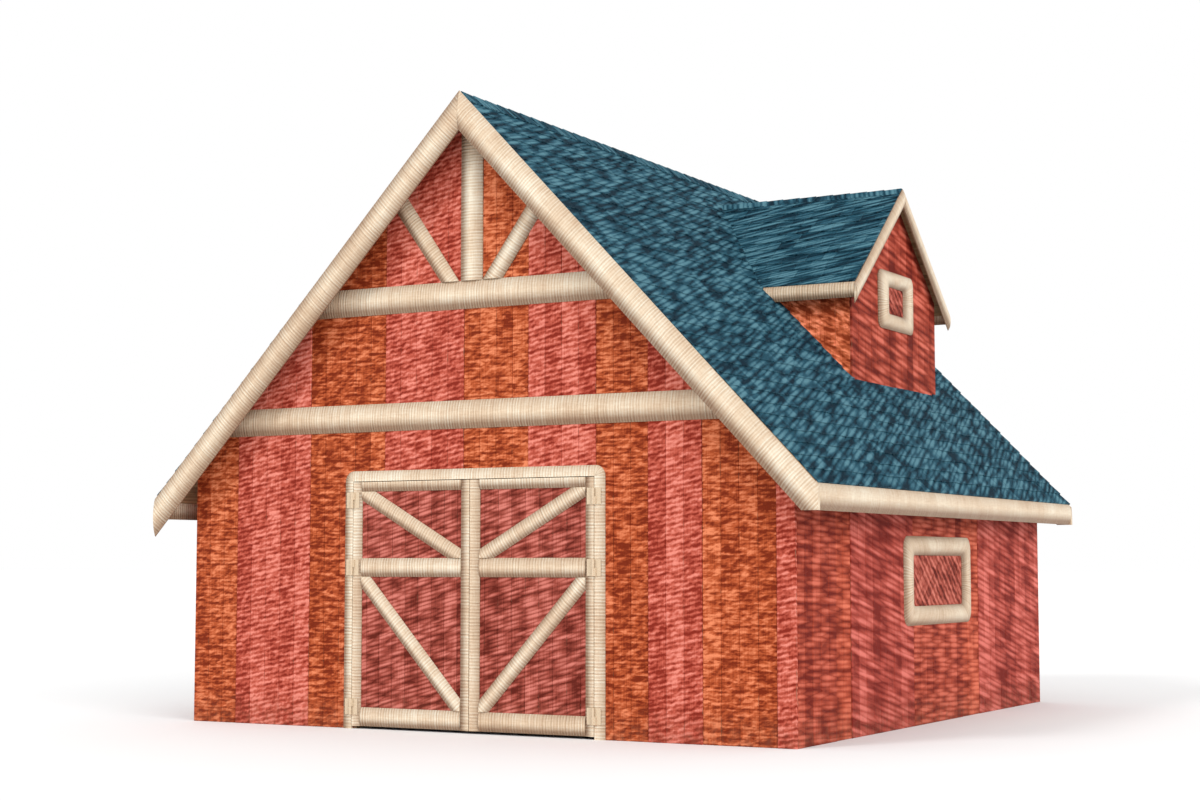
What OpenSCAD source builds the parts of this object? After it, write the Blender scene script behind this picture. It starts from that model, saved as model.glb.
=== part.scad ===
// Red timber barn: gabled, boarded walls on a post frame, a pair of hinged
// doors in the front gable, one boarded window in each side wall and a gabled
// dormer on the right-hand roof slope. Front faces -Y, right side faces +X.

/* [Overall] */
// Width across the gable walls, mm
width = 7400; // [5600:50:10000]
// Depth of the walls along the ridge, mm
depth = 7800; // [6200:50:12000]
// Height of the side walls at their outer face, mm
eave_height = 2800; // [2300:20:3800]
// Pitch of the main roof, degrees
roof_pitch = 46; // [36:1:52]
// Overhang of the roof past the side walls, mm
eave_overhang = 330; // [200:10:500]
// Overhang of the roof past the gable walls, mm
gable_overhang = 260; // [150:10:500]

/* [Walls and frame] */
// Thickness of the wall boarding, mm
skin = 34; // [24:1:45]
// Depth of the horizontal girts behind the boarding, mm
girt_depth = 60; // [40:5:90]
// Height of each girt, mm
girt_height = 140; // [90:5:180]
// Side of the square posts, mm
post = 160; // [120:5:200]
// Height of the sill beams, mm
sill_height = 160; // [120:5:220]
// Height of the wall plates, mm
plate_height = 190; // [140:5:240]
// Drop from the eave height to the top of the wall plates, mm
plate_drop = 100; // [70:5:130]
// Height of the tie beams, mm
tie_height = 170; // [120:5:200]
// Distance of the middle tie beams from the centre, mm
tie_offset = 1300; // [900:20:1800]

/* [Roof] */
// Thickness of the roof deck with its shingles, mm
deck = 64; // [45:1:90]
// Number of rafters on each slope
rafter_count = 9; // [6:1:13]
// Width of a rafter, mm
rafter_width = 60; // [45:5:80]
// Depth of a rafter square to the slope, mm
rafter_depth = 150; // [110:5:180]
// Width of the ridge beam, mm
ridge_width = 90; // [60:5:120]
// Height of the ridge beam at its sides, mm
ridge_height = 250; // [200:10:320]

/* [Trim] */
// Width of the gable bargeboards square to the slope, mm
barge_width = 320; // [200:10:360]
// Thickness of the bargeboards, mm
barge_thick = 45; // [30:1:60]
// Rise of the bargeboards over the roof deck, mm
barge_rise = 26; // [10:1:40]
// Height of the eave fascias, mm
fascia_height = 280; // [180:10:320]
// Thickness of the eave fascias, mm
fascia_thick = 40; // [25:1:60]
// Height of the two level bands on the gables, mm
band_height = 300; // [180:10:320]
// Thickness of the bands, the king post and its braces, mm
band_thick = 35; // [20:1:50]
// Height of the lower band's underside over the eave height, mm
lower_band = 390; // [320:10:600]
// Height of the upper band's underside over the eave height, mm
upper_band = 1660; // [1300:10:1900]
// Width of the king post in the gable, mm
king_width = 270; // [160:10:300]
// Width of the braces beside the king post, mm
king_brace = 200; // [120:10:220]
// Spread of the king post braces from upright, degrees
king_angle = 36; // [28:1:45]

/* [Doors] */
// Clear width of the wall opening for the pair of doors, mm
door_width = 3000; // [2200:20:3200]
// Height of the wall opening for the doors, mm
door_height = 2655; // [2000:5:2655]
// Width of the casing around the doors, mm
casing_width = 112; // [80:5:160]
// Thickness of the casing and of the door trim, mm
casing_thick = 26; // [18:1:35]
// Radius of the casing's upper outer corners, mm
casing_round = 110; // [40:5:120]
// Gap between a door leaf and the casing, mm
leaf_gap = 8; // [6:1:12]
// Gap between the two leaves, mm
meet_gap = 10; // [9:1:14]
// Height of the leaves' lower edge over the ground, mm
leaf_lift = 30; // [15:5:60]
// Thickness of the door boards, mm
leaf_board = 28; // [20:1:30]
// Width of the outer stiles and the top rail, mm
stile_width = 104; // [80:2:140]
// Width of each meeting stile, mm
meet_stile = 112; // [80:2:140]
// Height of the middle and bottom rails, mm
rail_height = 200; // [120:5:220]
// Height of the middle rail's underside as a share of the leaf, percent
rail_share = 61; // [50:1:68]
// Width of the diagonal door braces, mm
brace_width = 165; // [90:5:180]

/* [Door hinges] */
// Height of one hinge, mm
hinge_height = 170; // [120:10:220]
// Width of a hinge plate, mm
hinge_plate = 76; // [50:2:80]
// Thickness of a hinge plate, mm
hinge_thick = 6; // [4:1:8]
// Outer radius of the hinge barrel, mm
barrel_radius = 14; // [12:1:16]
// Radius of the hinge pin, mm
pin_radius = 8; // [6:0.5:9]
// Running clearance between the pin and its bore, mm
pin_play = 1.2; // [0.8:0.1:1.6]

/* [Side windows] */
// Width of the boarded opening in each side wall, mm
window_width = 1600; // [800:20:1800]
// Height of the boarded opening in each side wall, mm
window_height = 560; // [400:10:800]
// Height of the window's centre over the ground, mm
window_centre = 1580; // [1300:10:1700]
// Distance of the window's centre behind the middle of the wall, mm
window_back = 100; // [-600:20:600]
// Width of the upright window frame boards, mm
window_side = 300; // [150:10:340]
// Width of the level window frame boards, mm
window_rail = 210; // [120:10:240]
// Thickness of the window frame boards, mm
window_thick = 34; // [20:1:45]

/* [Dormer] */
// Distance of the dormer's front wall from the ridge line, mm
dormer_reach = 2740; // [2000:20:3000]
// Distance of the dormer's centre behind the middle of the roof, mm
dormer_back = 1400; // [0:20:1700]
// Width of the dormer's walls, mm
dormer_width = 2800; // [1800:20:3000]
// Height of the dormer's front wall over the roof, mm
dormer_wall = 1200; // [700:20:1400]
// Pitch of the dormer roof, degrees
dormer_pitch = 40; // [36:1:52]
// Thickness of the dormer roof deck, mm
dormer_deck = 50; // [40:1:70]
// Overhang of the dormer roof at its eaves, mm
dormer_eave = 160; // [100:10:300]
// Overhang of the dormer roof past its front wall, mm
dormer_front = 100; // [80:10:260]
// Width of the dormer bargeboards and fascias, mm
dormer_trim = 185; // [120:5:220]
// Thickness of the dormer bargeboards and fascias, mm
dormer_thick = 36; // [20:1:50]
// Width of the dormer's boarded window opening, mm
hatch_width = 480; // [300:10:700]
// Height of the dormer's boarded window opening, mm
hatch_height = 330; // [200:10:400]
// Height of the window's centre over the dormer's wall foot, mm
hatch_centre = 1060; // [700:10:1200]
// Width of the upright boards of the dormer window frame, mm
hatch_side = 350; // [120:10:360]
// Width of the level boards of the dormer window frame, mm
hatch_rail = 190; // [100:5:200]

/* [Hidden] */
hair = 0.3;
rest = 0.4;
hw = width / 2;
hd = depth / 2;
s = tan(roof_pitch);
c = cos(roof_pitch);
function under(x) = eave_height + (hw - abs(x)) * s;
function over(x) = under(x) + deck / c;
ex = hw + eave_overhang;
ey = hd + gable_overhang;
plate_top = eave_height - plate_drop;
plate_low = plate_top - plate_height;
beam_width = post + girt_depth;
in_x = hw - skin;
in_y = hd - skin;
door_top = min(door_height, plate_top - 45);
dhw = min(door_width / 2, hw - skin - beam_width - post - casing_width - 200);
stop = 28;
head_low = door_top - 18;
// dormer heights
ds = tan(dormer_pitch);
dc = cos(dormer_pitch);
dw = dormer_width / 2;
dx = min(dormer_reach, hw - 500);
dy = min(dormer_back, hd - dw - dormer_eave - 400);
foot = over(dx);
dtop = min(foot + dormer_wall, over(0) - 70 - dw * ds - dormer_deck / dc);
function dunder(u) = dtop + (dw - abs(u)) * ds;
function dover(u) = dunder(u) + dormer_deck / dc;
due = dw + dormer_eave;
dxf = dx + dormer_front;
shaft_half = dw - 320;
shaft_out = dx - skin - 40;
shaft_in = min(hw - (dover(shaft_half) - deck / c - eave_height) / s + 140,
               shaft_out - 500);
// side windows
whw = window_width / 2;
whh = window_height / 2;
wy = window_back;
wz = window_centre;
// doors
face = -hd - casing_thick;
pivot_x = dhw - leaf_gap / 2;
pivot_y = face - barrel_radius - hinge_thick - 3;
leaf_out = dhw - leaf_gap;
leaf_in = meet_gap / 2;
leaf_top = door_top - leaf_gap;
leaf_high = leaf_top - leaf_lift;
rail_z = leaf_lift + leaf_high * rail_share / 100;
hinge_z = [leaf_lift + 120 + hinge_height / 2,
           rail_z + rail_height / 2,
           leaf_top - 110 - hinge_height / 2];
red = [0.68, 0.27, 0.20];
rose = [0.62, 0.29, 0.25];
cream = [0.86, 0.77, 0.65];
teal = [0.22, 0.37, 0.42];
timber = [0.62, 0.50, 0.36];
iron = [0.80, 0.72, 0.62];

// box from its low corner to its high corner
module slab(a, b) {
  translate(a) cube([b[0] - a[0], b[1] - a[1], b[2] - a[2]]);
}
// outline in x and z, run along y
module along_y(points, y0, y1) {
  translate([0, y1, 0]) rotate([90, 0, 0]) linear_extrude(y1 - y0) polygon(points);
}
// outline in y and z, run along x
module along_x(points, x0, x1) {
  translate([x0, 0, 0]) rotate([90, 0, 90]) linear_extrude(x1 - x0) polygon(points);
}
module both_sides() {
  children();
  mirror([1, 0, 0]) children();
}
module both_ends() {
  children();
  mirror([0, 1, 0]) children();
}
// everything under the right-hand roof surface, with the bedding gap on it
module below_roof() {
  z = eave_height + deck / c + rest;
  along_y([[-200, -3000], [hw + 1000, -3000], [hw + 1000, z - 1000 * s],
           [-200, z + (hw + 200) * s]], -hd * 2, hd * 2);
}
// waste outside a rounded corner of a board that lies in the x-z plane
module corner_waste_y(x, z, dirx, dirz, r, y0, y1) {
  difference() {
    translate([dirx > 0 ? x - r : x - 5, y0 - 5, dirz > 0 ? z - r : z - 5])
      cube([r + 5, y1 - y0 + 10, r + 5]);
    translate([x - dirx * r, y1 + 10, z - dirz * r]) rotate([90, 0, 0])
      cylinder(h = y1 - y0 + 20, r = r, $fn = 64);
  }
}
// the same for a board that lies in the y-z plane
module corner_waste_x(y, z, diry, dirz, r, x0, x1) {
  difference() {
    translate([x0 - 5, diry > 0 ? y - r : y - 5, dirz > 0 ? z - r : z - 5])
      cube([x1 - x0 + 10, r + 5, r + 5]);
    translate([x0 - 10, y - diry * r, z - dirz * r]) rotate([0, 90, 0])
      cylinder(h = x1 - x0 + 20, r = r, $fn = 64);
  }
}

// ---- frame ----
module side_sills() {
  color(timber) both_sides()
    slab([in_x - beam_width, -in_y, 0], [in_x, in_y, sill_height]);
}
module end_sills() {
  color(timber) {
    both_sides()
      slab([dhw + post, -in_y, 0],
           [in_x - beam_width, -in_y + beam_width, sill_height]);
    slab([-in_x + beam_width, in_y - beam_width, 0],
         [in_x - beam_width, in_y, sill_height]);
  }
}
module wall_posts() {
  color(timber) {
    both_sides() both_ends() {
      slab([in_x - beam_width, in_y - beam_width, sill_height],
           [in_x - girt_depth, in_y - girt_depth, plate_low]);
      slab([in_x - beam_width, tie_offset - post / 2, sill_height],
           [in_x - girt_depth, tie_offset + post / 2, plate_low]);
    }
    both_sides()
      slab([dhw, in_y - beam_width, sill_height],
           [dhw + post, in_y - girt_depth, plate_top]);
  }
}
module door_posts() {
  color(timber) both_sides()
    slab([dhw - stop, -in_y, 0], [dhw + post, -in_y + post, plate_top]);
}
module door_header() {
  color(timber)
    slab([-dhw + stop, -in_y, head_low], [dhw - stop, -in_y + post, plate_top]);
}
module wall_plates() {
  color(timber) both_sides()
    slab([in_x - beam_width, -in_y, plate_low], [in_x, in_y, plate_top]);
}
module tie_beams() {
  half = hw - (plate_top + tie_height + 15 - eave_height) / s - 20;
  color(timber) both_ends() {
    slab([-half, in_y - post, plate_top], [half, in_y, plate_top + tie_height]);
    slab([-half, tie_offset - post / 2, plate_top],
         [half, tie_offset + post / 2, plate_top + tie_height]);
  }
}
module wall_girts() {
  low = wz - whh - window_rail - 60 - girt_height;
  high = wz + whh + window_rail + 60;
  color(timber) for (z = [low, high]) {
    both_sides()
      slab([in_x - girt_depth, -in_y + beam_width, z],
           [in_x, in_y - beam_width, z + girt_height]);
    slab([-in_x + beam_width, in_y - girt_depth, z],
         [in_x - beam_width, in_y, z + girt_height]);
  }
}
module rafter_row() {
  first = -(in_y - post - rafter_width / 2 - 60);
  step = -2 * first / (rafter_count - 1);
  x0 = ridge_width / 2;
  color(timber) difference() {
    for (i = [0 : rafter_count - 1])
      along_y([[x0, under(x0)], [in_x, under(in_x)],
               [in_x, under(in_x) - rafter_depth / c],
               [x0, under(x0) - rafter_depth / c]],
              first + i * step - rafter_width / 2,
              first + i * step + rafter_width / 2);
    slab([in_x - beam_width, -in_y, plate_low - 500], [in_x + 50, in_y, plate_top]);
    for (y = [-tie_offset, tie_offset])
      slab([0, y - post / 2, plate_top - 50],
           [in_x + 50, y + post / 2, plate_top + tie_height]);
    children();
  }
}
module rafters_left() {
  mirror([1, 0, 0]) rafter_row();
}
module rafters_right() {
  rafter_row()
    slab([shaft_in, dy - shaft_half, 0], [shaft_out, dy + shaft_half, over(0)]);
}
module ridge_beam() {
  r = ridge_width / 2;
  color(timber)
    along_y([[-r, under(r)], [0, under(0)], [r, under(r)],
             [r, under(r) - ridge_height], [-r, under(r) - ridge_height]],
            -in_y, in_y);
}

// ---- walls ----
module front_wall_left() {
  color(red) slab([-hw, -hd, 0], [-dhw, -in_y, door_top]);
}
module front_wall_right() {
  color(red) slab([dhw, -hd, 0], [hw, -in_y, door_top]);
}
module front_gable_wall() {
  color(red)
    along_y([[-hw, door_top], [hw, door_top], [hw, eave_height],
             [0, under(0)], [-hw, eave_height]], -hd, -in_y);
}
module rear_wall() {
  color(red)
    along_y([[-hw, 0], [hw, 0], [hw, eave_height],
             [0, under(0)], [-hw, eave_height]], in_y, hd);
}
module side_wall() {
  color(red) {
    for (y = [[-in_y, wy - whw - hair], [wy + whw + hair, in_y]])
      along_y([[in_x, 0], [hw, 0], [hw, eave_height], [in_x, under(in_x)]],
              y[0], y[1]);
    slab([in_x, wy - whw + hair, 0], [hw, wy + whw - hair, wz - whh]);
    along_y([[in_x, wz + whh], [hw, wz + whh], [hw, eave_height],
             [in_x, under(in_x)]], wy - whw + hair, wy + whw - hair);
  }
}
module left_wall() {
  mirror([1, 0, 0]) side_wall();
}
module right_wall() {
  side_wall();
}

// ---- main roof ----
module roof_strip(x0, x1, y0, y1) {
  along_y([[x0, under(x0) + rest], [x1, under(x1) + rest], [x1, over(x1)],
           [x0, over(x0)]], y0, y1);
}
module roof_left() {
  color(teal) mirror([1, 0, 0]) roof_strip(0, ex, -ey, ey);
}
module roof_right() {
  color(teal) {
    roof_strip(0, ex, -ey, dy - shaft_half - hair);
    roof_strip(0, ex, dy + shaft_half + hair, ey);
    roof_strip(0, shaft_in, dy - shaft_half + hair, dy + shaft_half - hair);
    roof_strip(shaft_out, ex, dy - shaft_half + hair, dy + shaft_half - hair);
  }
}

// ---- trim of the main roof and gables ----
module barge_plumb() {
  xe = ex + fascia_thick;
  along_y([[hair, over(hair) + barge_rise], [hair, over(hair) + barge_rise - barge_width / c],
           [xe, over(xe) + barge_rise - barge_width / c], [xe, over(xe) + barge_rise]],
          ey, ey + barge_thick);
}
module barge_level() {
  xe = ex + fascia_thick;
  cut = over(ex) - fascia_height;
  xc = hw - (cut - barge_rise + barge_width / c - deck / c - eave_height) / s;
  along_y([[hair, over(hair) + barge_rise], [hair, over(hair) + barge_rise - barge_width / c],
           [xc, cut], [xe, cut], [xe, over(xe) + barge_rise]],
          ey, ey + barge_thick);
}
module bargeboard_pair() {
  color(cream) {
    barge_level();
    mirror([1, 0, 0]) barge_plumb();
  }
}
module front_bargeboards() {
  mirror([0, 1, 0]) bargeboard_pair();
}
module rear_bargeboards() {
  bargeboard_pair();
}
module eave_fascias() {
  color(cream) both_sides()
    slab([ex, -ey, over(ex) - fascia_height], [ex + fascia_thick, ey, over(ex)]);
}
module band_pair() {
  color(cream) for (z = [eave_height + lower_band, eave_height + upper_band]) {
    x0 = hw - (z - eave_height) / s - 4;
    x1 = hw - (z + band_height - eave_height) / s - 4;
    along_y([[-x0, z], [x0, z], [x1, z + band_height], [-x1, z + band_height]],
            hd, hd + band_thick);
  }
}
module front_bands() {
  mirror([0, 1, 0]) band_pair();
}
module rear_bands() {
  band_pair();
}
module gable_truss() {
  z0 = eave_height + upper_band + band_height;
  k = king_width / 2;
  mirror([0, 1, 0]) color(cream) {
    along_y([[-k, z0], [k, z0], [k, under(k) - 4], [0, under(0) - 4], [-k, under(k) - 4]],
            hd, hd + band_thick);
    both_sides() intersection() {
      along_y([[k + hair, z0], [hw - (z0 - eave_height) / s - 4, z0],
               [k + hair, under(k + hair) - 4]], hd, hd + band_thick);
      translate([k, hd, z0]) rotate([0, king_angle, 0])
        slab([0, 0, -400], [king_brace, band_thick, hw]);
    }
  }
}

// ---- door casing and hinge pintles ----
module door_casing_jambs() {
  color(cream) both_sides()
    slab([dhw, face, 0], [dhw + casing_width, -hd, door_top]);
}
module door_casing_head() {
  x = dhw + casing_width;
  z = door_top + casing_width;
  color(cream) difference() {
    slab([-x, face, door_top], [x, -hd, z]);
    both_sides() corner_waste_y(x, z, 1, 1, casing_round, face, -hd);
  }
}
module door_pintles() {
  color(iron) both_sides() for (z = hinge_z) {
    slab([dhw + 1, face - hinge_thick, z - hinge_height / 2],
         [dhw + hinge_plate, face, z + hinge_height / 2]);
    translate([pivot_x, pivot_y, z - hinge_height / 2])
      cylinder(h = hinge_height / 2 - 0.4, r = barrel_radius, $fn = 48);
    translate([pivot_x, pivot_y, z - 2])
      cylinder(h = hinge_height / 2 + 2, r = pin_radius, $fn = 48);
    slab([pivot_x + 4, pivot_y, z - hinge_height / 2],
         [dhw + 24, face - 1, z - 3]);
  }
}

// ---- side windows ----
module side_window_frames() {
  yo = whw + window_side;
  zo = whh + window_rail;
  r = 0.6 * window_rail;
  color(cream) both_sides() difference() {
    union() {
      for (d = [-1, 1])
        slab([hw, wy + (d < 0 ? -yo : whw), wz - zo],
             [hw + window_thick, wy + (d < 0 ? -whw : yo), wz + zo]);
      for (d = [-1, 1])
        slab([hw, wy - whw + 2 * hair, wz + (d < 0 ? -zo : whh)],
             [hw + window_thick, wy + whw - 2 * hair, wz + (d < 0 ? -whh : zo)]);
    }
    for (a = [-1, 1], b = [-1, 1])
      corner_waste_x(wy + a * yo, wz + b * zo, a, b, r, hw, hw + window_thick);
  }
}
module side_window_shutters() {
  color(rose) both_sides()
    slab([in_x, wy - whw + hair, wz - whh + hair],
         [hw + 4, wy + whw - hair, wz + whh - hair]);
}

// ---- dormer ----
module dormer_front_wall() {
  color(red) difference() {
    along_x([[dy - dw, foot - 200], [dy + dw, foot - 200], [dy + dw, dtop],
             [dy, dunder(0)], [dy - dw, dtop]], dx - skin, dx);
    below_roof();
    slab([dx - skin - 5, dy - hatch_width / 2, foot + hatch_centre - hatch_height / 2],
         [dx + 5, dy + hatch_width / 2, foot + hatch_centre + hatch_height / 2]);
  }
}
module dormer_cheeks() {
  color(red) for (d = [-1, 1]) difference() {
    along_x([[dy + d * dw, foot - 200], [dy + d * dw, dtop],
             [dy + d * (dw - skin), dtop + skin * ds],
             [dy + d * (dw - skin), foot - 200]], ridge_width, dx - skin);
    below_roof();
  }
}
module dormer_slope(d) {
  color(teal) difference() {
    along_x([[dy, dunder(0) + rest], [dy, dover(0)], [dy + d * due, dover(due)],
             [dy + d * due, dunder(due) + rest]], 1, dxf);
    below_roof();
  }
}
module dormer_roof_front() {
  dormer_slope(-1);
}
module dormer_roof_rear() {
  dormer_slope(1);
}
module dormer_bargeboards() {
  ue = due + dormer_thick;
  r = 12;
  color(cream) for (d = [-1, 1])
    along_x([[dy + d * hair, dover(hair) + r], [dy + d * ue, dover(ue) + r],
             [dy + d * ue, dover(ue) + r - dormer_trim / dc],
             [dy + d * hair, dover(hair) + r - dormer_trim / dc]],
            dxf, dxf + dormer_thick);
}
module dormer_fascias() {
  color(cream) for (d = [-1, 1]) difference() {
    slab([1, dy + (d < 0 ? -due - dormer_thick : due), dover(due) - dormer_trim],
         [dxf, dy + (d < 0 ? -due : due + dormer_thick), dover(due)]);
    below_roof();
  }
}
module dormer_window_frame() {
  yo = hatch_width / 2 + hatch_side;
  zo = hatch_height / 2 + hatch_rail;
  z = foot + hatch_centre;
  color(cream) difference() {
    slab([dx, dy - yo, z - zo], [dx + window_thick, dy + yo, z + zo]);
    slab([dx - 5, dy - hatch_width / 2, z - hatch_height / 2],
         [dx + window_thick + 5, dy + hatch_width / 2, z + hatch_height / 2]);
    for (a = [-1, 1], b = [-1, 1])
      corner_waste_x(dy + a * yo, z + b * zo, a, b, 0.6 * hatch_rail,
                     dx, dx + window_thick);
  }
}
module dormer_window_shutter() {
  z = foot + hatch_centre;
  color(red)
    slab([dx - skin, dy - hatch_width / 2 + hair, z - hatch_height / 2 + hair],
         [dx + 4, dy + hatch_width / 2 - hair, z + hatch_height / 2 - hair]);
}

// ---- door leaves, drawn for the right-hand leaf ----
module leaf_boards() {
  color(rose) slab([leaf_in, -hd, leaf_lift], [leaf_out, -hd + leaf_board, leaf_top]);
}
module leaf_stiles() {
  color(cream) {
    slab([leaf_in, face, leaf_lift], [leaf_in + meet_stile, -hd, leaf_top]);
    slab([leaf_out - stile_width, face, leaf_lift], [leaf_out, -hd, leaf_top]);
  }
}
module leaf_rails() {
  x0 = leaf_in + meet_stile;
  x1 = leaf_out - stile_width;
  color(cream) {
    slab([x0, face, leaf_lift], [x1, -hd, leaf_lift + rail_height]);
    slab([x0, face, rail_z], [x1, -hd, rail_z + rail_height]);
    slab([x0, face, leaf_top - stile_width], [x1, -hd, leaf_top]);
  }
}
// diagonal from the foot at the meeting stile up to the outer corner
module leaf_brace(z0, z1) {
  x0 = leaf_in + meet_stile;
  x1 = leaf_out - stile_width;
  a = atan((z1 - z0) / (x1 - x0));
  h = brace_width / cos(a) / 2;
  intersection() {
    along_y([[x0, z0], [x1, z0], [x1, z1], [x0, z1]], face, -hd);
    along_y([[x0 - 300, z0 - 300 * tan(a) - h], [x1 + 300, z1 + 300 * tan(a) - h],
             [x1 + 300, z1 + 300 * tan(a) + h], [x0 - 300, z0 - 300 * tan(a) + h]],
            face - 5, -hd + 5);
  }
}
module leaf_braces() {
  color(cream) {
    leaf_brace(leaf_lift + rail_height, rail_z);
    leaf_brace(rail_z + rail_height, leaf_top - stile_width);
  }
}
module leaf_hinges() {
  color(iron) for (z = hinge_z) difference() {
    union() {
      slab([leaf_out - hinge_plate, face - hinge_thick, z - hinge_height / 2],
           [leaf_out - 1, face, z + hinge_height / 2]);
      translate([pivot_x, pivot_y, z + 0.4])
        cylinder(h = hinge_height / 2 - 0.4, r = barrel_radius, $fn = 48);
      slab([leaf_out - 24, pivot_y, z + 3],
           [pivot_x - 4, face - 1, z + hinge_height / 2]);
    }
    translate([pivot_x, pivot_y, z - hinge_height])
      cylinder(h = hinge_height * 2, r = pin_radius + pin_play, $fn = 48);
  }
}
module right_door_boards() { leaf_boards(); }
module right_door_stiles() { leaf_stiles(); }
module right_door_rails() { leaf_rails(); }
module right_door_braces() { leaf_braces(); }
module right_door_hinges() { leaf_hinges(); }
module left_door_boards() { mirror([1, 0, 0]) leaf_boards(); }
module left_door_stiles() { mirror([1, 0, 0]) leaf_stiles(); }
module left_door_rails() { mirror([1, 0, 0]) leaf_rails(); }
module left_door_braces() { mirror([1, 0, 0]) leaf_braces(); }
module left_door_hinges() { mirror([1, 0, 0]) leaf_hinges(); }

side_sills();
end_sills();
wall_posts();
door_posts();
door_header();
wall_plates();
tie_beams();
wall_girts();
rafters_left();
rafters_right();
ridge_beam();
front_wall_left();
front_wall_right();
front_gable_wall();
rear_wall();
left_wall();
right_wall();
roof_left();
roof_right();
front_bargeboards();
rear_bargeboards();
eave_fascias();
front_bands();
rear_bands();
gable_truss();
door_casing_jambs();
door_casing_head();
door_pintles();
side_window_frames();
side_window_shutters();
dormer_front_wall();
dormer_cheeks();
dormer_roof_front();
dormer_roof_rear();
dormer_bargeboards();
dormer_fascias();
dormer_window_frame();
dormer_window_shutter();
left_door_boards();
left_door_stiles();
left_door_rails();
left_door_braces();
left_door_hinges();
right_door_boards();
right_door_stiles();
right_door_rails();
right_door_braces();
right_door_hinges();
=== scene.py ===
import math
import random

import bpy
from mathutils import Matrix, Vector


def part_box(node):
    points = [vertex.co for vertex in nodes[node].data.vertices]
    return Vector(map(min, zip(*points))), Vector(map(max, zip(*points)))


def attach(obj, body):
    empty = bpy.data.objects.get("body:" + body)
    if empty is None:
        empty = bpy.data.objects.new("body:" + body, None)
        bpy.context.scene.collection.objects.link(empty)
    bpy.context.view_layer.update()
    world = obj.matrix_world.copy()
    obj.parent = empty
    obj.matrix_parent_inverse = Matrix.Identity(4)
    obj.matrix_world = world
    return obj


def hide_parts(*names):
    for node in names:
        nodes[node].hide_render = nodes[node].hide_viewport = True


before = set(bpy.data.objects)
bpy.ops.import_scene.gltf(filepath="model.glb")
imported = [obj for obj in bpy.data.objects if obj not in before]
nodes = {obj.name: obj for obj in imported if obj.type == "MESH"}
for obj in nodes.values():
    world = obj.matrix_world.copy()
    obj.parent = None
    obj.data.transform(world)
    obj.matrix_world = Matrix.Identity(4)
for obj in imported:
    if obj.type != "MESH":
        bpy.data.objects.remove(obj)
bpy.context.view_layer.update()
rng = random.Random(7)

# ---------------------------------------------------------------- sizes from the frame
gable_lo, gable_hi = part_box("front_gable_wall")
roof_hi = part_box("roof_right")[1]
HW, HD = gable_hi.x, -gable_lo.y        # half the width and depth, to the walls' outer faces
SKIN = gable_hi.y - gable_lo.y          # the wall boards' thickness
RIDGE = gable_hi.z                      # where the gable walls' top edges meet, under the roof
TAN = (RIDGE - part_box("right_wall")[1].z) / (HW - SKIN)
PITCH = math.atan(TAN)
COS, SIN = math.cos(PITCH), math.sin(PITCH)
EAVE = RIDGE - HW * TAN                 # the walls' height at their outer corners
EX, EY = roof_hi.x, roof_hi.y           # half the roof's width and depth
ROOF_TOP = roof_hi.z
DOOR_TOP = gable_lo.z
DHW = -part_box("front_wall_left")[1].x   # half the doorway's width

# the dormer, whose face looks along +X
dorm_lo, dorm_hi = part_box("dormer_front_wall")
cheek_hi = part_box("dormer_cheeks")[1]
deck_lo, deck_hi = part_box("dormer_roof_front")
hatch_lo, hatch_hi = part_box("dormer_window_shutter")
DXF = dorm_hi.x                         # its face
DY = (dorm_lo.y + dorm_hi.y) / 2        # its middle
DW = (dorm_hi.y - dorm_lo.y) / 2        # half its width
DTAN = (dorm_hi.z - cheek_hi.z) / (DW - SKIN)
DPITCH = math.atan(DTAN)
DCOS, DSIN = math.cos(DPITCH), math.sin(DPITCH)
DECK_TOP = deck_hi.z                    # its roof's apex
DEXT = DY - deck_lo.y                   # from its middle to its eaves
DXE = deck_hi.x                         # its roof's front edge
DEAVE = cheek_hi.z - SKIN * DTAN        # its walls' height at their outer corners

# ---------------------------------------------------------------- sizes of the boards and trim
BOARD = 0.2              # a wall board's width
LEAF_BOARD = 0.165       # a door board's width
LET_IN = 0.008           # how deep flat trim is let into the boards behind it
LEAF_LET_IN = 0.002      # the same for the trim on the doors
CLEAR = 0.004            # between trim and the roof's underside
TRIM_EDGE = 0.2          # a half-round board's thickness at its edges, as a share of the whole
ROUND, FLAT_ROUND = 2.4, 3.0    # how full the half-round is
STRIPS = 12              # how many strips make a half-round
CREASE = math.radians(38)       # a sharper edge than this isn't smoothed
BAND = 0.30              # the level bands' height
SHINGLE_TOP, SHINGLE_TAPER = 0.003, 0.017   # a shingle's upper end, and how much thicker its butt is
HALVES = (0.0, 0.5), (0.5, 1.0)     # the lower and upper half of a half-round
SHADE_LIGHT = Vector((0.6, 0.6, 0.8))   # where the light comes from, for the painted shade on trim
AWAY_SHADE = 0.65               # how much more painted shade trim has on edges that face away from the light


def over(x):
    """The height of the roof's upper face at x."""
    return ROOF_TOP - abs(x) * TAN


# ---------------------------------------------------------------- outlines
def tidy(poly, near=1e-5):
    """Drops points that lie on the point before them."""
    out = []
    for p in poly:
        if not out or math.dist(p, out[-1]) > near:
            out.append(p)
    if len(out) > 1 and math.dist(out[0], out[-1]) <= near:
        out.pop()
    return out


def clip(poly, a, b, c):
    """The part of a convex outline where a*u + b*v <= c."""
    out = []
    for i, p in enumerate(poly):
        q = poly[(i + 1) % len(poly)]
        dp, dq = a * p[0] + b * p[1] - c, a * q[0] + b * q[1] - c
        if dp <= 1e-9:
            out.append(p)
        if (dp < -1e-9 and dq > 1e-9) or (dp > 1e-9 and dq < -1e-9):
            t = dp / (dp - dq)
            out.append((p[0] + (q[0] - p[0]) * t, p[1] + (q[1] - p[1]) * t))
    return tidy(out)


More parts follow.
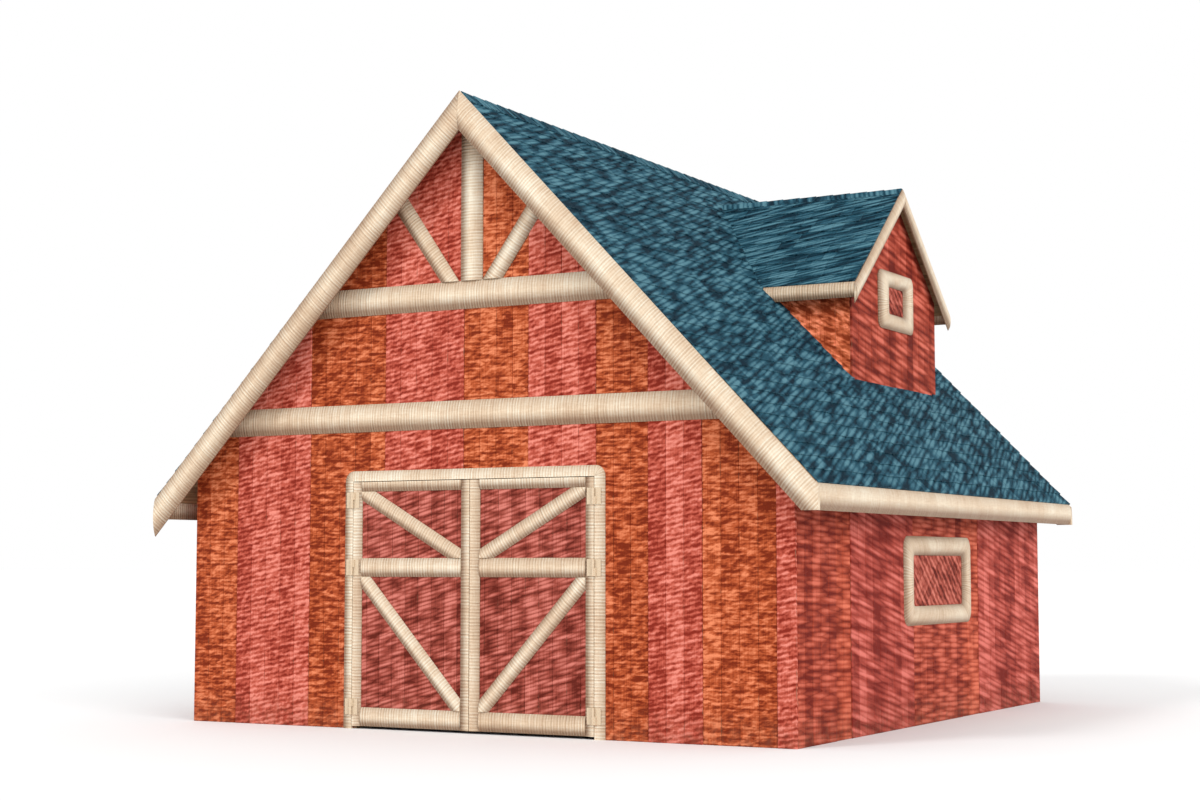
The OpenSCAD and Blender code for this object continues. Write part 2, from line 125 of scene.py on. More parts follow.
def clip_to(poly, outline):
    """Clips a convex outline to a counter-clockwise convex one."""
    for i, p in enumerate(outline):
        q = outline[(i + 1) % len(outline)]
        a, b = q[1] - p[1], -(q[0] - p[0])
        poly = clip(poly, a, b, a * p[0] + b * p[1])
        if len(poly) < 3:
            return []
    return poly


def area(poly):
    """The area, above zero for a counter-clockwise outline."""
    return 0.5 * sum(p[0] * q[1] - q[0] * p[1] for p, q in zip(poly, poly[1:] + poly[:1]))


def inset(poly, dists):
    """Moves each edge of an outline inwards by its own distance."""
    n = len(poly)
    lines = []
    for i in range(n):
        p, q = poly[i], poly[(i + 1) % n]
        length = math.dist(p, q) or 1e-9
        a, b = (q[1] - p[1]) / length, -(q[0] - p[0]) / length
        lines.append((a, b, a * p[0] + b * p[1] - dists[i]))
    out = []
    for i in range(n):
        a1, b1, c1 = lines[i - 1]
        a2, b2, c2 = lines[i]
        det = a1 * b2 - a2 * b1
        if abs(det) < 1e-6:
            out.append((poly[i][0] - a2 * dists[i], poly[i][1] - b2 * dists[i]))
        else:
            out.append(((c1 * b2 - c2 * b1) / det, (a1 * c2 - a2 * c1) / det))
    return out


def rectangle(u0, u1, v0, v1):
    return [(u0, v0), (u1, v0), (u1, v1), (u0, v1)]


def mirrored(poly, flip=True):
    """An outline's mirror image across u = 0, turning the same way as before."""
    return [(-u, v) for u, v in poly][::-1] if flip else poly


def rounded(u0, u1, v0, v1, r, per=8):
    """A rectangle with corners of radius r."""
    pts = []
    for cu, cv, start in ((u1 - r, v0 + r, -90), (u1 - r, v1 - r, 0),
                          (u0 + r, v1 - r, 90), (u0 + r, v0 + r, 180)):
        for k in range(per + 1):
            a = math.radians(start + 90 * k / per)
            pts.append((cu + r * math.cos(a), cv + r * math.sin(a)))
    return pts


def half_round(t, power):
    """The share of its thickness that a half-round board has at a share t of its width."""
    return TRIM_EDGE + (1 - TRIM_EDGE) * (1 - abs(2 * t - 1) ** power)


def half_rounds(thick, count=STRIPS + 1, span=(0.0, 1.0), power=ROUND):
    """A half-round profile, or a span of one, as (share across, height)."""
    out = []
    for k in range(count):
        s = k / (count - 1)
        out.append((s, thick * half_round(span[0] + (span[1] - span[0]) * s, power)))
    return out


def trim_shade(share, amount, facing_light):
    """How much painted shade browns trim: more towards its edges, less where the edge faces the light."""
    return min(1.0, share * (amount - AWAY_SHADE * facing_light))


# ---------------------------------------------------------------- mesh building
class Plane:
    """A flat frame: u and v in its face, n out of it."""

    def __init__(self, origin, u, v):
        self.o, self.u, self.v = Vector(origin), Vector(u), Vector(v)
        self.n = self.u.cross(self.v)

    def at(self, u, v, w=0.0):
        return self.o + self.u * u + self.v * v + self.n * w


front = Plane((0, -HD, 0), (1, 0, 0), (0, 0, 1))
rear = Plane((0, HD, 0), (-1, 0, 0), (0, 0, 1))
right = Plane((HW, 0, 0), (0, 1, 0), (0, 0, 1))
left = Plane((-HW, 0, 0), (0, -1, 0), (0, 0, 1))
dormer_face = Plane((DXF, 0, 0), (0, 1, 0), (0, 0, 1))


class Piece:
    """Collects faces with UVs in metres (u along the grain) and a tint for each vertex.

    A tint is two random numbers of the board's own, with between them how worn a board is there, or how
    much painted shade a trim has there.
    """

    def __init__(self):
        self.v, self.f, self.uv, self.m, self.t = [], [], [], [], []

    def prism(self, poly, plane, back, rings, weights=None, grain=(0, 1), tint=None, mat=0,
              lift=None, inner=None):
        """A slab cut to an outline, from its back through rings of (inset, height) to its face.

        weights scale the inset of each edge, lift(u, v) raises the face, and inner is the material
        of the back.
        """
        poly = tidy(poly)
        if len(poly) < 3 or abs(area(poly)) < 1e-6:
            return
        if area(poly) < 0:
            poly, weights = poly[::-1], weights and (weights[::-1][1:] + weights[::-1][:1])
        n = len(poly)
        weights = weights or [1.0] * n
        r = tint or (rng.random(), rng.random())
        gx, gy = grain
        g = math.hypot(gx, gy)
        gx, gy = gx / g, gy / g
        layers = [(poly, back, 0.0)]
        for k, (off, height) in enumerate(rings):
            ring = inset(poly, [off * w for w in weights]) if off else poly
            layers.append((ring, height, 1.0 if k == 0 else 0.0))
        base = len(self.v)
        flat = []
        for pts, h, edge in layers:
            for (u, v) in pts:
                hh = h + (lift(u, v) if lift and h != back else 0.0)
                self.v.append(plane.at(u, v, hh))
                self.t.append((r[0], edge, r[1], 1.0))
                flat.append((u * gx + v * gy, u * gy - v * gx, hh))

        def face(idx, side, mat=mat):
            self.f.append([base + i for i in idx])
            self.uv += [(flat[i][0], flat[i][1] + (flat[i][2] if side else 0.0)) for i in idx]
            self.m.append(mat)

        face(list(range(n))[::-1], False, mat if inner is None else inner)
        for k in range(len(layers) - 1):
            for i in range(n):
                j = (i + 1) % n
                face([k * n + i, k * n + j, (k + 1) * n + j, (k + 1) * n + i], True)
        face([(len(layers) - 1) * n + i for i in range(n)], False)

    def loop(self, outer, inner, plane, back, profile, closed=True, symmetric=True):
        """A band between two matching outlines, with a profile of (share across, height)."""
        r = (rng.random(), rng.random())
        base = len(self.v)
        n = len(outer)
        full = [(0.0, back)] + profile + [(1.0, back)]
        run = [0.0]
        for i in range(1, n + 1):
            run.append(run[-1] + math.dist(outer[i - 1], outer[i % n]))
        for i in range(n):
            for (s, h) in full:
                u = outer[i][0] + (inner[i][0] - outer[i][0]) * s
                v = outer[i][1] + (inner[i][1] - outer[i][1]) * s
                self.v.append(plane.at(u, v, h))
                out = plane.u * (outer[i][0] - inner[i][0]) + plane.v * (outer[i][1] - inner[i][1])
                # painted shade: the band is browned towards its edges, most where an edge faces away from
                # the light
                facing_light = out.normalized().dot(SHADE_LIGHT) * (1 if s < 0.5 or not symmetric else -1)
                share = abs(2 * s - 1) ** 2 if symmetric else (1 - s) ** 1.4
                self.t.append((r[0], trim_shade(share, 1.05, facing_light), r[1], 1.0))
        k = len(full)
        wide = math.dist(outer[0], inner[0])
        for i in range(n if closed else n - 1):
            j = (i + 1) % n
            for a in range(k):
                b = (a + 1) % k
                self.f.append([base + i * k + a, base + j * k + a, base + j * k + b, base + i * k + b])
                # the back's grain runs on past the inner edge
                sa, sb = full[a][0], full[b][0] if b else 1.2
                self.uv += [(run[i], sa * wide), (run[i + 1], sa * wide),
                            (run[i + 1], sb * wide), (run[i], sb * wide)]
                self.m.append(0)
        if not closed:
            for i, order in ((0, list(range(k))), (n - 1, list(range(k))[::-1])):
                self.f.append([base + i * k + a for a in order])
                self.uv += [(run[i], full[a][0] * wide) for a in order]
                self.m.append(0)

    def moulding(self, poly, plane, back, thick, grain, span=(0.0, 1.0), power=ROUND):
        """A board with a half-round face and plain cut ends, cut from a convex outline."""
        poly = tidy(poly, 0.002)
        r = (rng.random(), rng.random())
        g = math.hypot(*grain)
        ga, gb = grain[0] / g, grain[1] / g
        pts = [(u * ga + v * gb, v * ga - u * gb) for u, v in poly]
        lo, hi = min(q[1] for q in pts), max(q[1] for q in pts)
        cuts = sorted([lo + (hi - lo) * k / STRIPS for k in range(STRIPS + 1)] + [q[1] for q in pts])
        levels = [cuts[0]]
        for c in cuts[1:]:
            if c - levels[-1] > 0.0015:
                levels.append(c)
        levels[-1] = hi
        rows = []
        for c in levels:
            hits = []
            for i, q in enumerate(pts):
                w = pts[(i + 1) % len(pts)]
                a, b = q[1] - c, w[1] - c
                if abs(a) < 1e-7:
                    hits.append(q[0])
                if a * b < 0:
                    hits.append(q[0] + (w[0] - q[0]) * a / (a - b))
            rows.append((min(hits), max(hits)))
        facing_light = (plane.u * -gb + plane.v * ga).dot(SHADE_LIGHT)
        base = len(self.v)
        flat, ids = [], []
        for c, (a0, a1) in zip(levels, rows):
            t = span[0] + (span[1] - span[0]) * (c - lo) / (hi - lo)
            top = thick * half_round(t, power)
            # painted shade: browner towards the edges, most on the edge that faces away from the light
            shade_brown = trim_shade(abs(2 * t - 1) ** 1.3, 1.12, math.copysign(1.0, t - 0.5) * facing_light)
            n = len(flat)
            point = a1 - a0 < 1e-4
            corners = [(a0, back), (a0, top)] + ([] if point else [(a1, top), (a1, back)])
            for a, h in corners:
                flat.append((a, c, h))
                self.v.append(plane.at(a * ga - c * gb, a * gb + c * ga, h))
                self.t.append((r[0], shade_brown, r[1], 1.0))
            ids.append([n, n + 1, n + 1, n] if point else [n, n + 1, n + 2, n + 3])

        def face(idx, kind):
            idx = [x for k, x in enumerate(idx) if x != idx[k - 1]]
            if len(idx) < 3:
                return
            self.f.append([base + i for i in idx])
            for i in idx:
                a, c, h = flat[i]
                self.uv.append((h, c) if kind == "end" else (a, h) if kind == "side" else (a, c))
            self.m.append(0)

        for p, q in zip(ids, ids[1:]):
            face([p[1], p[2], q[2], q[1]], "face")
            face([p[3], p[0], q[0], q[3]], "face")
            face([p[0], p[1], q[1], q[0]], "end")
            face([p[2], p[3], q[3], q[2]], "end")
        face([ids[0][0], ids[0][3], ids[0][2], ids[0][1]], "side")
        face([ids[-1][1], ids[-1][2], ids[-1][3], ids[-1][0]], "side")

    def build(self, name, mats, body, replaces=(), smooth=False):
        """Makes the object, on its body, in place of the CAD nodes it stands for."""
        me = bpy.data.meshes.new(name)
        me.from_pydata([tuple(v) for v in self.v], [], self.f)
        uv = me.uv_layers.new(name="UVMap")
        uv.data.foreach_set("uv", [c for p in self.uv for c in p])
        col = me.color_attributes.new("tint", "FLOAT_COLOR", "POINT")
        col.data.foreach_set("color", [c for t in self.t for c in t])
        for m in mats:
            me.materials.append(m)
        me.polygons.foreach_set("material_index", self.m)
        me.polygons.foreach_set("use_smooth", [smooth] * len(self.f))
        me.update()
        o = bpy.data.objects.new(name, me)
        bpy.context.scene.collection.objects.link(o)
        if smooth:
            me.set_sharp_from_angle(angle=CREASE)
        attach(o, body)
        if replaces:
            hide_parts(*replaces)

    def trim(self, name, *replaces, body="barn"):
        """Builds it as cream trim."""
        self.build(name, [cream], body, replaces, smooth=True)


# ---------------------------------------------------------------- materials
def srgb(r, g, b):
    return tuple(((c / 255 + 0.055) / 1.055) ** 2.4 if c > 10 else c / 255 / 12.92
                 for c in (r, g, b)) + (1.0,)


def shades(light, *colours):
    """sRGB colours as seen in full light, turned into what the surface reflects."""
    return [tuple(c * light for c in srgb(*rgb)[:3]) + (1.0,) for rgb in colours]


class Nodes:
    """Short forms for the shader nodes every material here is made of."""

    def __init__(self, name, coords="UV"):
        self.m = bpy.data.materials.new(name)
        self.m.use_nodes = True
        self.nt = self.m.node_tree
        self.nt.nodes.clear()
        self.coords = self.add("ShaderNodeTexCoord").outputs[coords]
        tint = self.add("ShaderNodeAttribute", attribute_name="tint", attribute_type="GEOMETRY")
        parts = self.add("ShaderNodeSeparateColor")
        self.link(tint.outputs["Color"], parts.inputs[0])
        # the second channel is edge wear on boards and shingles, and painted shade on trim
        self.tint, self.edge = parts.outputs[0], parts.outputs[1]
        # each board takes its grain from another place
        jump = self.add("ShaderNodeVectorMath", operation="MULTIPLY_ADD")
        jump.inputs[1].default_value = (23.0, 0.0, 31.0)
        self.link(tint.outputs["Color"], jump.inputs[0])
        self.link(self.coords, jump.inputs[2])
        self.place = jump.outputs[0]

    def add(self, kind, **props):
        n = self.nt.nodes.new(kind)
        for k, v in props.items():
            setattr(n, k, v)
        return n

    def link(self, a, b):
        self.nt.links.new(a, b)

    def put(self, value, socket):
        if hasattr(value, "is_output"):
            self.link(value, socket)
        else:
            socket.default_value = value

    def math(self, op, a, b):
        n = self.add("ShaderNodeMath", operation=op)
        self.put(a, n.inputs[0])
        self.put(b, n.inputs[1])
        return n.outputs[0]

    def spread(self, value, lo, hi, to_lo, to_hi):
        """Maps lo to hi onto to_lo to to_hi, and stops there."""
        n = self.add("ShaderNodeMapRange")
        for i, x in enumerate((value, lo, hi, to_lo, to_hi)):
            self.put(x, n.inputs[i])
        return n.outputs[0]

    def mix(self, f, a, b):
        n = self.add("ShaderNodeMix", data_type="RGBA")
        self.put(f, n.inputs[0])
        self.put(a, n.inputs[6])
        self.put(b, n.inputs[7])
        return n.outputs[2]

    def blend(self, *pairs):
        """A weighted average of masks."""
        total = None
        for mask, w in pairs:
            part = self.math("MULTIPLY", mask, w / sum(x[1] for x in pairs))
            total = part if total is None else self.math("ADD", total, part)
        return total

    def turned(self, angle):
        n = self.add("ShaderNodeVectorRotate", rotation_type="Z_AXIS")
        n.inputs["Angle"].default_value = angle
        self.link(self.coords, n.inputs["Vector"])
        return n.outputs[0]

    def scaled(self, place, scale):
        n = self.add("ShaderNodeMapping")
        n.inputs["Scale"].default_value = tuple(scale) + (1.0,) * (3 - len(scale))
        self.link(place, n.inputs["Vector"])
        return n.outputs[0]

    def noise(self, scale, detail, rough, lo=0.3, hi=0.7, warp=0.0, place=None):
        """A mask of so many grains to the metre on each axis, 0 up to lo and 1 from hi."""
        n = self.add("ShaderNodeTexNoise")
        for k, v in (("Scale", 1.0), ("Detail", detail), ("Roughness", rough), ("Distortion", warp)):
            n.inputs[k].default_value = v
        self.link(self.scaled(place or self.place, scale), n.inputs["Vector"])
        return self.spread(n.outputs["Fac"], lo, hi, 0.0, 1.0)

    def courses(self, place, width, height, gap):
        """Boards laid in courses: a grey for each board, dark between them."""
        n = self.add("ShaderNodeTexBrick", offset=0.5, squash=1.0)
        for k, v in (("Color1", (0.25, 0.25, 0.25, 1)), ("Color2", (1, 1, 1, 1)), ("Mortar", (0, 0, 0, 1)),
                     ("Scale", 1.0), ("Mortar Size", gap), ("Mortar Smooth", 1.0), ("Bias", 0.0),
                     ("Brick Width", width), ("Row Height", height)):
            n.inputs[k].default_value = v
        self.link(place, n.inputs["Vector"])
        grey = self.add("ShaderNodeSeparateColor")
        self.link(n.outputs["Color"], grey.inputs[0])
        return grey.outputs[0]

    def ribs(self, period, warp=1.5, ripple=1.5, place=None):
        """Ridges across the grain, a period apart."""
        n = self.add("ShaderNodeTexWave", wave_type="BANDS", bands_direction="X", wave_profile="SIN")
        for k, v in (("Scale", math.pi / 10 / period), ("Distortion", warp), ("Detail", 2.0),
                     ("Detail Scale", ripple), ("Detail Roughness", 0.6)):
            n.inputs[k].default_value = v
        self.link(place or self.place, n.inputs["Vector"])
        return n.outputs["Fac"]

    def dabs(self, long, high, turn):
        """Long shallow marks lying across the grain, each with its own tone and a darker rim."""
        cells = self.add("ShaderNodeTexVoronoi", voronoi_dimensions="2D", feature="F1")
        cells.inputs["Scale"].default_value = 1.0
        cells.inputs["Randomness"].default_value = 0.68
        self.link(self.scaled(self.turned(turn), (1.0 / high, 1.0 / long)), cells.inputs["Vector"])
        tone = self.add("ShaderNodeSeparateColor")
        self.link(cells.outputs["Color"], tone.inputs[0])
        rim = self.spread(cells.outputs["Distance"], 0.15, 0.62, 1.0, 0.0)
        return self.blend((rim, 0.65), (tone.outputs[0], 0.35))

    def strokes(self, long, high, turn, even=0.2, break_up=0.35):
        """Short tool marks lying across the grain; even is how regular their rows are."""
        place = self.turned(turn)
        loose = self.noise((0.95 / high, 0.62 / long), 3.0, 0.55, 0.37, 0.63, 0.35, place)
        broken = self.noise((1.0 / high, 1.1 / long), 1.0, 0.5, 0.40, 0.60, 0.0, self.turned(turn + 0.5))
        rows = self.ribs(high, 3.2, 2.6, place)
        return self.blend((rows, even), (loose, 1.0 - even), (broken, break_up))

    def hewing(self, kind, long, high, turn):
        """Tool marks of one kind: dabs, strokes in waves, or strokes in rows."""
        if kind == "dabs":
            return self.blend((self.dabs(long, high, turn), 0.75),
                              (self.strokes(long, high, turn, break_up=0.1), 0.35))
        return self.strokes(long, high, turn, 0.5 if kind == "rows" else 0.2)

    def ramp(self, f, colours, stops):
        n = self.add("ShaderNodeValToRGB")
        e = n.color_ramp.elements
        while len(e) < len(colours):
            e.new(0.5)
        for k, (c, s) in enumerate(zip(colours, stops)):
            e[k].position = s
            e[k].color = c
        self.link(f, n.inputs[0])
        return n.outputs[0]

    def finish(self, colour, rough, bump, depth, strength, shine=0.25):
        """The surface: a colour, a roughness and a bump of so many metres."""
        bsdf = self.add("ShaderNodeBsdfPrincipled")
        out = self.add("ShaderNodeOutputMaterial")
        self.link(bsdf.outputs[0], out.inputs["Surface"])
        self.link(colour, bsdf.inputs["Base Color"])
        self.link(rough, bsdf.inputs["Roughness"])
        bsdf.inputs["Specular IOR Level"].default_value = shine
        n = self.add("ShaderNodeBump")
        n.inputs["Strength"].default_value = strength
        n.inputs["Distance"].default_value = depth
        self.link(bump, n.inputs["Height"])
        self.link(n.outputs[0], bsdf.inputs["Normal"])
        return self.m


PAINT_LIGHT = 0.72
BARE, SOIL = (140, 112, 88), (128, 92, 72)


def board_paint(name, colours, marks, turn=0.0, light=PAINT_LIGHT, soiled=True):
    """Milk paint on hewn boards, worn along the edges and soiled near the ground.

    marks are their kind, length and height across the grain, turned by so many degrees.
    """
    n = Nodes(name)
    dark, mid, bright, bare_wood, dirt = shades(light, *colours, BARE, SOIL)
    hew = n.hewing(*marks, math.radians(turn))
    fine = n.noise((3.0, 90.0), 4.0, 0.6)
    cloud = n.noise((1.4, 2.0), 2.0, 0.5)
    f = n.blend((hew, 1.0), (fine, 0.22), (cloud, 0.22), (n.tint, 0.25))
    colour = n.ramp(f, (dark, mid, bright), (0.30, 0.52, 0.74))
    rubbed = n.math("ADD", n.noise((8.0, 30.0), 5.0, 0.65, 0.35, 0.65), n.math("MULTIPLY", n.edge, 0.5))
    colour = n.mix(n.spread(rubbed, 1.02, 1.24, 0.0, 0.55), colour, bare_wood)
    if soiled:
        at = n.add("ShaderNodeSeparateXYZ")
        n.link(n.add("ShaderNodeTexCoord").outputs["Object"], at.inputs[0])
        splash = n.noise((14.0, 14.0), 5.0, 0.6, 0.35, 0.75)
        low = n.math("MULTIPLY", n.spread(at.outputs["Z"], 0.0, 0.4, 0.5, 0.0), splash)
        colour = n.mix(low, colour, dirt)
    return n.finish(colour, n.spread(fine, 0.0, 1.0, 0.66, 0.86), n.blend((hew, 0.75), (fine, 0.25)),
                    depth=0.012, strength=0.8, shine=0.12)


orange = board_paint("paint_orange_red", ((130, 42, 12), (194, 90, 48), (246, 144, 100)),
                     ("waves", 0.12, 0.040))
rose = board_paint("paint_rose_red", ((144, 42, 26), (204, 94, 74), (248, 148, 130)),
                   ("rows", 0.125, 0.052), 11)
deep = board_paint("paint_deep_red", ((118, 28, 14), (176, 72, 50), (230, 118, 94)),
                   ("dabs", 0.40, 0.055), -2)
side_rose = board_paint("paint_side_rose", ((128, 34, 24), (188, 80, 66), (240, 130, 116)),
                        ("dabs", 0.60, 0.065), -12)
side_orange = board_paint("paint_side_orange", ((130, 38, 18), (194, 84, 58), (242, 128, 98)),
                          ("dabs", 0.40, 0.055), -2)
dormer_red = board_paint("paint_dormer_red", ((110, 26, 12), (172, 68, 48), (232, 120, 98)),
                         ("dabs", 0.60, 0.080), -10, soiled=False)
# painted light: the cheeks' orange is made brighter than the walls' to lift them out of the shade under the
# dormer's eave
cheek_orange_brightened = board_paint("paint_cheek_orange", ((126, 46, 18), (190, 94, 58), (246, 144, 106)),
                           ("waves", 0.14, 0.055), -28, light=1.1, soiled=False)
door_red = board_paint("paint_door_red", ((104, 32, 20), (168, 78, 64), (226, 132, 118)),
                       ("dabs", 0.24, 0.042), 15)
hatch_red = board_paint("paint_hatch_red", ((104, 30, 20), (174, 80, 64), (226, 130, 112)),
                        ("rows", 0.45, 0.085), 12, soiled=False)


def cream_paint(name, light):
    """Cream paint on half-round boards, ribbed across by the plane, with painted shade browning them along
    the edges.
    """
    n = Nodes(name)
    shadow, mid, bright, shade_brown = shades(light, (206, 174, 142), (236, 212, 182), (255, 246, 224),
                                        (136, 102, 76))
    ribs = n.blend((n.ribs(0.034), 0.55), (n.noise((70.0, 2.5), 1.0, 0.5, 0.34, 0.66), 0.45))
    fine = n.noise((9.0, 60.0), 3.0, 0.6)
    cloud = n.noise((1.5, 3.0), 2.0, 0.5)
    f = n.blend((ribs, 0.5), (fine, 0.2), (cloud, 0.35), (n.tint, 0.2))
    colour = n.ramp(f, (shadow, mid, bright), (0.20, 0.50, 0.80))
    # painted shade: brown mixed in along the trim's edges, as the mesh gives it
    edge = n.math("MULTIPLY", n.spread(n.edge, 0.0, 1.0, 0.0, 0.95), n.spread(ribs, 0.0, 1.0, 1.0, 0.75))
    colour = n.mix(edge, colour, shade_brown)
    return n.finish(colour, n.spread(fine, 0.0, 1.0, 0.48, 0.66), n.blend((ribs, 0.8), (fine, 0.2)),
                    depth=0.010, strength=0.7, shine=0.3)


cream = cream_paint("paint_cream", 0.76)


def shingle_stain(name):
    """Teal stain on split shingles: slanting marks, streaks down the grain, pale worn butts."""
    n = Nodes(name)
    dark, mid, bright, pale = shades(PAINT_LIGHT, (10, 40, 54), (42, 88, 106), (94, 140, 154),
                                     (122, 160, 172))
    turn = math.radians(20)
    grain = n.noise((8.0, 110.0), 4.0, 0.6)
    marks = n.blend((n.dabs(0.70, 0.060, turn), 0.75), (n.strokes(0.55, 0.05, turn, break_up=0.1), 0.3))
    f = n.blend((grain, 0.2), (marks, 1.0), (n.tint, 0.25))
    colour = n.ramp(f, (dark, mid, bright), (0.31, 0.52, 0.74))
    patchy = n.noise((30.0, 30.0), 2.0, 0.5, 0.45, 0.6)
    worn = n.math("MULTIPLY", n.spread(n.edge, 0.4, 1.0, 0.0, 0.5), patchy)
    colour = n.mix(worn, colour, pale)
    return n.finish(colour, n.spread(grain, 0.0, 1.0, 0.62, 0.85), n.blend((grain, 0.6), (marks, 0.4)),
                    depth=0.006, strength=0.8, shine=0.04)


teal = shingle_stain("stain_teal")


def sawn_timber(name, along=None):
    """Bare sawn softwood; roof boarding when the axis along its boards is given."""
    n = Nodes(name, "Object")
    dark, mid, bright = shades(0.8, (96, 68, 44), (146, 112, 78), (190, 156, 116))
    fibres = {"x": (1.5, 40, 40), "y": (40, 1.5, 40), None: (14, 14, 14)}[along]
    grain = n.noise(fibres, 5.0, 0.6, warp=0.4)
    cloud = n.noise((1.2, 1.2, 1.2), 3.0, 0.55)
    f = n.blend((grain, 0.65), (cloud, 0.35))
    if along:
        at = n.add("ShaderNodeSeparateXYZ")
        n.link(n.coords, at.inputs[0])
        run = n.add("ShaderNodeCombineXYZ")
        n.link(at.outputs[along.upper()], run.inputs[0])
        # height, stretched to the distance up the slope
        n.link(n.math("MULTIPLY", at.outputs["Z"], 1.39), run.inputs[1])
        f = n.blend((f, 0.6), (n.courses(run.outputs[0], 2.6, 0.16, 0.006), 0.4))
    colour = n.ramp(f, (dark, mid, bright), (0.22, 0.5, 0.8))
    return n.finish(colour, n.spread(grain, 0.0, 1.0, 0.74, 0.9), f, depth=0.006, strength=0.7)


timber = sawn_timber("sawn_timber")
decking = sawn_timber("roof_boarding", "y")
dormer_decking = sawn_timber("dormer_roof_boarding", "x")


def bare_board(name):
    """The unpainted inner face of the wall boards."""
    n = Nodes(name)
    dark, mid, bright = shades(0.8, (102, 74, 50), (150, 116, 82), (192, 158, 120))
    grain = n.noise((1.6, 55.0), 5.0, 0.6, warp=0.5)
    cloud = n.noise((1.2, 2.5), 3.0, 0.5)
    f = n.blend((grain, 0.6), (cloud, 0.2), (n.tint, 0.3))
    colour = n.ramp(f, (dark, mid, bright), (0.2, 0.5, 0.8))
    return n.finish(colour, n.spread(grain, 0.0, 1.0, 0.74, 0.9), f, depth=0.005, strength=0.7)


bare = bare_board("bare_board")


def iron_paint(name):
    """Cream paint over forged hinges, with pitting and a little rust showing through."""
    n = Nodes(name, "Object")
    low, high, rust = shades(0.76, (212, 186, 154), (236, 216, 186), (128, 84, 56))
    pits = n.noise((160, 160, 160), 3.0, 0.6)
    rusty = n.spread(n.noise((22, 22, 22), 6.0, 0.75, 0.0, 1.0), 0.62, 0.72, 0.0, 0.6)
    colour = n.mix(rusty, n.ramp(pits, (low, high), (0.2, 0.8)), rust)
    return n.finish(colour, n.spread(pits, 0.0, 1.0, 0.38, 0.6), pits,
                    depth=0.001, strength=0.5, shine=0.4)


hinge_paint = iron_paint("hinge_paint")

CARRIED_OVER = (
    (timber, ("side_sills", "end_sills", "wall_posts", "door_posts", "door_header", "wall_plates",
              "tie_beams", "wall_girts", "rafters_left", "rafters_right", "ridge_beam")),
    (decking, ("roof_left", "roof_right")),
    (dormer_decking, ("dormer_roof_front", "dormer_roof_rear")),
    (hinge_paint, ("door_pintles", "left_door_hinges", "right_door_hinges")),
)
for mat, names in CARRIED_OVER:
    for name in names:
        slots = nodes[name].data.materials
        slots.clear()
        slots.append(mat)


# ---------------------------------------------------------------- boarded walls
def boards(piece, plane, outline, u0, u1, paint, holes=(), width=BOARD, thick=SKIN, extra=0.0, inner=None):
    """Upright boards with chamfered edges, clipped to a convex outline and split at openings.

    paint(i, u) gives the material of board i, whose middle is at u. The first material's boards
    stand a little further back than the others.
    """
    count = max(1, round((u1 - u0) / width))
    step = (u1 - u0) / count
    lo_v, hi_v = min(p[1] for p in outline), max(p[1] for p in outline)
    for i in range(count):
        a, b = u0 + i * step, u0 + (i + 1) * step
        mat = paint(i, (a + b) / 2)
        spans = [(a, b, lo_v, hi_v)]
        for (h0, h1, z0, z1) in holes:
            if a < h1 - 0.01 and b > h0 + 0.01:
                split = []
                for c, d, lo, hi in spans:
                    beside = max(lo, z0), min(hi, z1)
                    split += [(c, d, lo, min(hi, z0)), (c, d, max(lo, z1), hi),
                              (c, min(d, h0), *beside), (max(c, h1), d, *beside)]
                spans = [q for q in split if q[3] - q[2] > 0.005 and q[1] - q[0] > 0.012]
        face = (-0.005 if mat == 0 else 0.004) + rng.uniform(-0.0015, 0.0015) + extra
        tint = (rng.random(), rng.random())
        for span in spans:
            poly = clip_to(rectangle(*span), outline)
            if len(poly) >= 3:
                piece.prism(poly, plane, -thick, [(0.0, face - 0.007), (0.0055, face)],
                            tint=tint, mat=mat, inner=inner)


def one_paint(i, u):
    return 0


# how many boards each stripe of the gable walls has, orange and rose in turn
STRIPES = (3, 5, 5, 5, 4, 4, 3, 3, 4, 1)
STRIPE_OF = [k % 2 for k, count in enumerate(STRIPES) for _ in range(count)]
# where each stripe of the side walls ends, and its material; the last runs on to the corner
SIDE_STRIPES = ((-2.9, 2), (-2.5, 0), (-0.7, 1), (0.9, 2), (1.5, 0), (HD, 1))
gable = [(-HW, 0), (HW, 0), (HW, EAVE), (0, RIDGE), (-HW, EAVE)]


def gable_paint(i, u):
    return STRIPE_OF[min(i, len(STRIPE_OF) - 1)]


p = Piece()
boards(p, front, gable, -HW, HW, gable_paint, holes=[(-DHW, DHW, -1, DOOR_TOP)], inner=2)
p.build("front_boards", [orange, rose, bare], "barn",
        ("front_wall_left", "front_wall_right", "front_gable_wall"))
p = Piece()
boards(p, rear, gable, -HW, HW, gable_paint, inner=2)
p.build("rear_boards", [orange, rose, bare], "barn", ("rear_wall",))

win_lo, win_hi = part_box("side_window_shutters")
IN = HD - SKIN
for name, node, plane, s in (("right_boards", "right_wall", right, 1),
                             ("left_boards", "left_wall", left, -1)):
    p = Piece()
    hole = (*sorted((win_lo.y * s, win_hi.y * s)), win_lo.z, win_hi.z)
    boards(p, plane, rectangle(-IN, IN, 0, EAVE), -HD, HD,
           lambda i, u: next(mat for end, mat in SIDE_STRIPES if u * s < end), holes=[hole], inner=3)
    p.build(name, [side_orange, side_rose, deep, bare], "barn", (node,))


